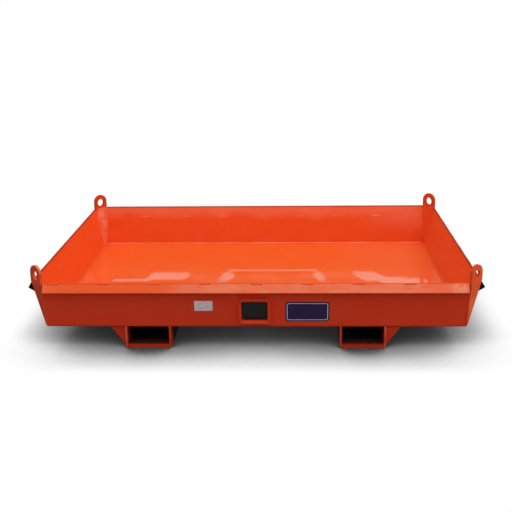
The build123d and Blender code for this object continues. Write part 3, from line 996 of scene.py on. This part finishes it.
def make_rivets():
    across, up, width, height = wall_extent("rating_plate", PLATE_THICKNESS)
    turns = [(tau * step / RIVET_SIDES, 0.0) for step in range(RIVET_SIDES)]
    grown = bmesh.new()
    for x_sign, y_sign in CORNERS.values():
        x = across + x_sign * (width / 2 - RIVET_INSET)
        y = up + y_sign * (height / 2 - RIVET_INSET)

        def place(level, turn, _):
            radius = RIVET_RADIUS * level[0]
            out = PLATE_THICKNESS + RIVET_HEIGHT * level[1]
            return on_side("front", x + radius * cos(turn), out, y + radius * sin(turn))

        add_sweep(grown, turns, RIVET_PROFILE, place)
    materials = [metal("rivet_metal", *RIVET_GREY, Metallic=1.0)]
    add_piece("plate_rivets", grown, materials, ["rating_plate_rivets"], sharp=60)


def make_label():
    grown, *_ = wall_plate("blank_label", LABEL_THICKNESS, LABEL_RADIUS)
    white = vinyl("label_vinyl", *LABEL_WHITE)
    add_piece("label_sheet", grown, [white], ["blank_label"], PLATE_SOFT)


def make_badge():
    grown, across, up, width, height = wall_plate("blank_badge", BADGE_THICKNESS, BADGE_RADIUS)
    margin = KEYLINE_MARGIN
    keyline = rounded_box(width - 2 * margin, height - 2 * margin, BADGE_RADIUS - margin * 0.6)
    low, high = BADGE_THICKNESS, BADGE_THICKNESS + LINE_RISE
    section = [(0.0, low), (0.0, high), (KEYLINE_WIDTH, high), (KEYLINE_WIDTH, low)]
    add_sweep(grown, section, keyline, on_outline(across, up), closed=True, finish=1)
    materials = [vinyl("badge_navy", *BADGE_NAVY), vinyl("badge_pale", *BADGE_PALE)]
    add_piece("badge_sheet", grown, materials, ["blank_badge"], PLATE_SOFT)


make_guard()
make_rating_plate()
make_rivets()
make_label()
make_badge()


# Weld beads

BEAD_STEP = 0.00125
BEAD_SHARES = (0.0, 0.25, 0.5, 0.75, 1.0)
BEAD_UNEVEN = 0.10
BEAD_LUMPS = 70.0
RIPPLE_PITCH = 0.005
RIPPLE_BOW = 0.45

# The size of a bead's ends, how many legs long they are, and what its ripples leave and add
END_SIZE = 0.55
END_LEGS = 1.2
LEG_TROUGH = 0.95
LEG_CREST = 0.08
BULGE_TROUGH = 0.55
BULGE_CREST = 0.65

# How far beads bulge between their legs, as shares of the distance between these
BEAD_CROWN = 0.16
SEAM_CROWN = 0.08
STITCH_CROWN = 0.30
GROOVE_CROWN = 0.14
INNER_CROWN = 0.10


def bead_section(at, length, first, second, crown, seed, closed):
    """A bead's points about its root at a distance along it: the root, then its face from leg to leg."""
    end = min(at, length - at)
    size = 1.0 if closed else END_SIZE + (1.0 - END_SIZE) * smoothstep(0.0, first.length * END_LEGS, end)
    size *= 1.0 + BEAD_UNEVEN * noise.noise(Vector((at * BEAD_LUMPS, seed, 0.3)))
    rise = (first + second).normalized() * crown * (second - first).length
    points = [Vector((0, 0, 0))]
    for share in BEAD_SHARES:
        bulge = 4.0 * share * (1.0 - share)
        crest = abs(sin(pi * (at / RIPPLE_PITCH + RIPPLE_BOW * bulge)))
        leg = first.lerp(second, share) * size * (LEG_TROUGH + LEG_CREST * crest)
        points.append(leg + rise * bulge * size * (BULGE_TROUGH + BULGE_CREST * crest))
    return points


def add_bead(grown, path, legs, length, crown=BEAD_CROWN, finish=0, seed=0.0, closed=False):
    """A weld bead. path(at) gives its root and legs(at) its two legs, at a distance along it."""
    marks = stations(0.0, length, BEAD_STEP)
    if closed:
        marks = marks[:-1]
    rings = []
    for at in marks:
        root = path(at)
        points = bead_section(at, length, *legs(at), crown, seed, closed)
        rings.append([grown.verts.new(root + point) for point in points])
    add_skin(grown, rings, closed, finish, finish)


def add_straight_bead(grown, start, end, first, second, crown=BEAD_CROWN, finish=0):
    """A weld bead along a straight joint, with its two legs."""
    length = (end - start).length
    way = (end - start).normalized()
    seed = start.x * 3.1 + start.y * 5.3 + start.z * 7.7
    add_bead(grown, lambda at: start + way * at, lambda at: (first, second), length, crown, finish, seed)


def along_wall(grown, side, low, high, root, first, second, crown=BEAD_CROWN, finish=0):
    """A bead along a wall, from a section's root and legs in (out, up)."""
    start, end = [on_side(side, along, *root) for along in (low, high)]
    legs = [on_side(side, low, root[0] + out, root[1] + up) - start for out, up in (first, second)]
    add_straight_bead(grown, start, end, *legs, crown, finish)


def add_welds(node, grown, *materials):
    """Put beads into the scene in place of a CAD node of welds."""
    add_piece(node.replace("weld", "bead"), grown, materials, [node])


def make_floor_beads():
    grown = bmesh.new()
    root = (-WALL_THICKNESS, -WALL_THICKNESS * LEAN_TAN)
    upward = (0.0, FLOOR_WELD)
    inward = (-FLOOR_WELD * LEAN_COS, -FLOOR_WELD * LEAN_SIN)
    for side, (_, _, run) in SIDES.items():
        half = HALF_LENGTH - WALL_FOOT - FLOOR_WELD if side in LONG_SIDES else run / 2
        crown, finish = (BEAD_CROWN, 1) if side == "rear" else (SEAM_CROWN, 0)
        along_wall(grown, side, -half, half, root, upward, inward, crown, finish)
    add_welds("floor_welds", grown, seam_enamel, weld_enamel)


def make_stitches():
    upper = bmesh.new()
    lower = bmesh.new()
    slant = RIM_WELD / ROOT_TWO
    for side, (_, _, run) in SIDES.items():
        for middle in stitch_middles(run):
            ends = middle - STITCH_LENGTH / 2, middle + STITCH_LENGTH / 2
            along_wall(upper, side, *ends, (0, RIM_TOP), (0, RIM_DROP), (slant, -slant), STITCH_CROWN)
            along_wall(lower, side, *ends, (0, RIM_BOTTOM), (0, -RIM_WELD), (slant, slant))
    add_welds("rim_upper_welds", upper, stitch_enamel)
    add_welds("rim_lower_welds", lower, outside_enamel)


def make_corner_beads():
    outer = bmesh.new()
    inner = bmesh.new()
    slope = Vector((0, -LEAN_SIN, LEAN_COS))
    slant = CORNER_WELD / ROOT_TWO
    inner_start = FLOOR_WELD + CORNER_WELD * ROOT_TWO / LEAN_SIN
    groove = Vector((-CORNER_SETBACK, WALL_FOOT, FLOOR_TOP))
    beads = [
        (outer, 0.0, Vector((0, -WALL_FOOT, 0)), Vector((WALL_FOOT, -WALL_FOOT, 0)), GROOVE_CROWN),
        (inner, inner_start, Vector((-CORNER_WELD, 0, 0)), Vector((slant, slant, 0)), INNER_CROWN),
    ]
    mirror = Matrix(((0, -1, 0), (-1, 0, 0), (0, 0, 1)))
    for x_sign, y_sign in CORNERS.values():
        origin = Vector((x_sign * HALF_LENGTH, y_sign * HALF_WIDTH, 0))
        turn = Matrix.Rotation(atan2(y_sign, x_sign) + pi / 4, 3, "Z")
        for hand in (turn, turn @ mirror):
            for grown, start, first, second, crown in beads:
                ends = [origin + hand @ (groove + slope * up) for up in (start, WALL_SLOPE)]
                add_straight_bead(grown, *ends, hand @ first, hand @ second, crown)
    add_welds("corner_outer_welds", outer, outside_enamel)
    add_welds("corner_inner_welds", inner, inside_enamel)


# How full the prepared edges of the pockets' bottom plates are
BOTTOM_FILL = 0.9


def make_pocket_beads():
    to_floor = bmesh.new()
    to_bottom = bmesh.new()
    fill = BOTTOM_WELD * BOTTOM_FILL
    for hand, x_sign in HANDS.items():
        for plate, side in (("outer", x_sign), ("inner", -x_sign)):
            low, high, inside, outside = sided_box(f"{hand}_pocket_{plate}_plate", side)
            ends = [Vector((outside, y, high.z)) for y in (low.y, high.y)]
            beyond = Vector((side * POCKET_WELD, 0, 0))
            add_straight_bead(to_floor, *ends, UP * -POCKET_WELD, beyond)
            ends = [Vector((inside, y, BOTTOM_WELD)) for y in (low.y, high.y)]
            add_straight_bead(to_bottom, *ends, UP * -fill, Vector((-side * fill, 0, -fill)), 0.0)
    add_welds("pocket_floor_welds", to_floor, under_shade_enamel)
    add_welds("pocket_bottom_welds", to_bottom, under_shade_enamel)


def make_gusset_beads():
    grown = bmesh.new()
    for hand, x_sign in HANDS.items():
        for end in LONG_SIDES:
            low, high, root, tip = sided_box(f"{hand}_{end}_gusset", x_sign)
            along = Vector((x_sign * GUSSET_WELD, 0, 0))
            for y, away in ((low.y, -1), (high.y, 1)):
                beside = Vector((0, away * GUSSET_WELD, 0))
                ends = [Vector((root, y, z)) for z in (low.z, high.z - GUSSET_SNIPE)]
                add_straight_bead(grown, *ends, along, beside)
                ends = [Vector((x, y, high.z)) for x in (root + x_sign * GUSSET_SNIPE, tip)]
                add_straight_bead(grown, *ends, UP * -GUSSET_WELD, beside)
    add_welds("gusset_welds", grown, under_shade_enamel)


def make_guard_bead():
    """A bead round the guard's foot, along the same outline."""
    across, up, width, height = wall_extent("rating_plate_guard", GUARD_DEPTH)
    radius = GUARD_RADIUS
    arc = pi / 2 * radius
    run = width - 2 * radius
    rise = height - 2 * radius
    straights = (run / 2, rise, run, rise, run / 2)
    length = sum(straights) + 4 * arc

    def foot(at):
        """A point on the outline and its outward way, at a distance from the lower bar's middle."""
        middle = Vector((0.0, radius - height / 2))
        turn = -pi / 2
        for straight in straights:
            way = Vector((cos(turn), sin(turn)))
            ahead = Vector((-way.y, way.x))
            if at <= straight:
                return middle + ahead * at + way * radius, way
            middle += ahead * straight
            at -= straight
            if at <= arc:
                way = Vector((cos(turn + at / radius), sin(turn + at / radius)))
                return middle + way * radius, way
            at -= arc
            turn += pi / 2

    place = on_outline(across, up)

    def path(at):
        return place(foot(at), 0.0, 0.0)

    def legs(at):
        on_wall = place(foot(at), -GUARD_WELD, 0.0)
        on_guard = place(foot(at), 0.0, GUARD_WELD)
        return on_wall - path(at), on_guard - path(at)

    grown = bmesh.new()
    add_bead(grown, path, legs, length, closed=True)
    add_welds("guard_weld", grown, outside_enamel)


make_floor_beads()
make_stitches()
make_corner_beads()
make_pocket_beads()
make_gusset_beads()
make_guard_bead()


# Studio

GROUND_REACH = 400.0
GROUND_GREY = (0.22, 0.22, 0.22)
SHADOW_FLOOR = 0.016
SHADOW_SAMPLES = 16

# The two soft shadows painted on the ground from ambient occlusion, round the whole tray and in front of
# its
# pockets: the lean of the occlusion's half-dome, its reach, the open shares seen as black and white, and a
# power
SHADOWS = (
    (-0.50, 0.32, 0.0, 0.85, 3.0),
    (pi / 2, 0.30, 0.5, 0.95, 0.6),
)
WORLD_LEVEL = 0.515

# The lights
OVERHEAD_LEVEL = 0.575
OVERHEAD_SPREAD = radians(80)
OVERHEAD_WAY = Vector((0.10, -0.20, 1.0))
SOFTBOX_LEVEL = 2.7
SOFTBOX_PLACE = Vector((4.5, -0.8, 1.5))
SOFTBOX_TARGET = Vector((0.0, 0.0, 0.2))
SOFTBOX_WIDTH = 2.4
SOFTBOX_DEPTH = 2.0

# The camera, fitted to the photo, with its lens in mm
CAMERA_LENS = 63.655
CAMERA_PLACE = (0.159358, -4.284294, 1.493900)
CAMERA_YAW = 0.04148
CAMERA_PITCH = -0.28834
CAMERA_ROLL = -0.01409


def background_rays(tree):
    """1 for rays that show the background: from the camera, off gloss and through glass."""
    path = add_node(tree, "LightPath", {}).outputs
    rays = path["Is Camera Ray"]
    for name in ("Is Glossy Ray", "Is Transmission Ray"):
        rays = add_node(tree, "Math", {0: rays, 1: path[name]}, operation="MAXIMUM").outputs[0]
    return rays


def ground_painted_light(look):
    """The ground's brightness from 0 to 1, with the tray's shadow painted in from ambient occlusion."""
    level = 1.0
    for lean, reach, black, white, power in SHADOWS:
        facing = look.node("CombineXYZ", {"Y": sin(lean), "Z": cos(lean)}).outputs[0]
        inputs = {"Distance": reach, "Normal": facing}
        share = look.node("AmbientOcclusion", inputs, samples=SHADOW_SAMPLES).outputs["AO"]
        share = look.node("MapRange", {"Value": share, "From Min": black, "From Max": white}).outputs[0]
        level = look.times(level, look.math("POWER", share, power))
    return look.math("MULTIPLY_ADD", level, 1.0 - SHADOW_FLOOR, SHADOW_FLOOR)


def make_ground():
    mesh = bpy.data.meshes.new("studio_ground")
    corners = [(x * GROUND_REACH, y * GROUND_REACH, 0) for x, y in CORNERS.values()]
    mesh.from_pydata(corners, [], [(0, 1, 2, 3)])
    link("studio_ground", mesh)
    look = Look("studio_ground", Base_Color=shade(GROUND_GREY), Roughness=1.0, Specular_IOR_Level=0.0)
    # The ground shows white to camera and gloss rays, darkened by that painted shadow
    white = look.node("Emission", {"Strength": ground_painted_light(look)}).outputs[0]
    shown = look.node("MixShader", {0: background_rays(look.tree), 1: look.shader.outputs[0], 2: white})
    look.tree.links.new(shown.outputs[0], look.tree.nodes["Material Output"].inputs["Surface"])
    mesh.materials.append(look.material)


def make_world():
    scene.world = bpy.data.worlds.new("studio")
    scene.world.use_nodes = True
    tree = scene.world.node_tree
    sky = tree.nodes["Background"]
    sky.inputs["Color"].default_value = (1, 1, 1, 1)
    inputs = {"Value": background_rays(tree), "To Min": WORLD_LEVEL}
    level = add_node(tree, "MapRange", inputs).outputs[0]
    tree.links.new(level, sky.inputs["Strength"])


def add_lamp(name, kind, way, energy, **settings):
    """A lamp that shines from a way, with other settings."""
    lamp = bpy.data.lights.new(name, kind)
    lamp.energy = energy
    for setting, value in settings.items():
        setattr(lamp, setting, value)
    holder = link(name, lamp)
    holder.rotation_euler = way.to_track_quat("Z", "Y").to_euler()
    return holder


def make_camera():
    camera = link("camera", bpy.data.cameras.new("camera"))
    camera.data.lens = CAMERA_LENS
    turn = Matrix.Rotation(CAMERA_YAW, 4, "Z") @ Matrix.Rotation(pi / 2 + CAMERA_PITCH, 4, "X")
    turn = turn @ Matrix.Rotation(CAMERA_ROLL, 4, "Z")
    camera.matrix_world = Matrix.Translation(CAMERA_PLACE) @ turn
    scene.camera = camera


make_ground()
make_world()
add_lamp("overhead", "SUN", OVERHEAD_WAY, OVERHEAD_LEVEL * pi, angle=OVERHEAD_SPREAD)
softbox = add_lamp(
    "right_softbox",
    "AREA",
    SOFTBOX_PLACE - SOFTBOX_TARGET,
    SOFTBOX_LEVEL * pi * SOFTBOX_WIDTH * SOFTBOX_DEPTH,
    shape="RECTANGLE",
    size=SOFTBOX_WIDTH,
    size_y=SOFTBOX_DEPTH,
)
softbox.location = SOFTBOX_PLACE
softbox.visible_camera = False
make_camera()
scene.view_settings.view_transform = "Standard"
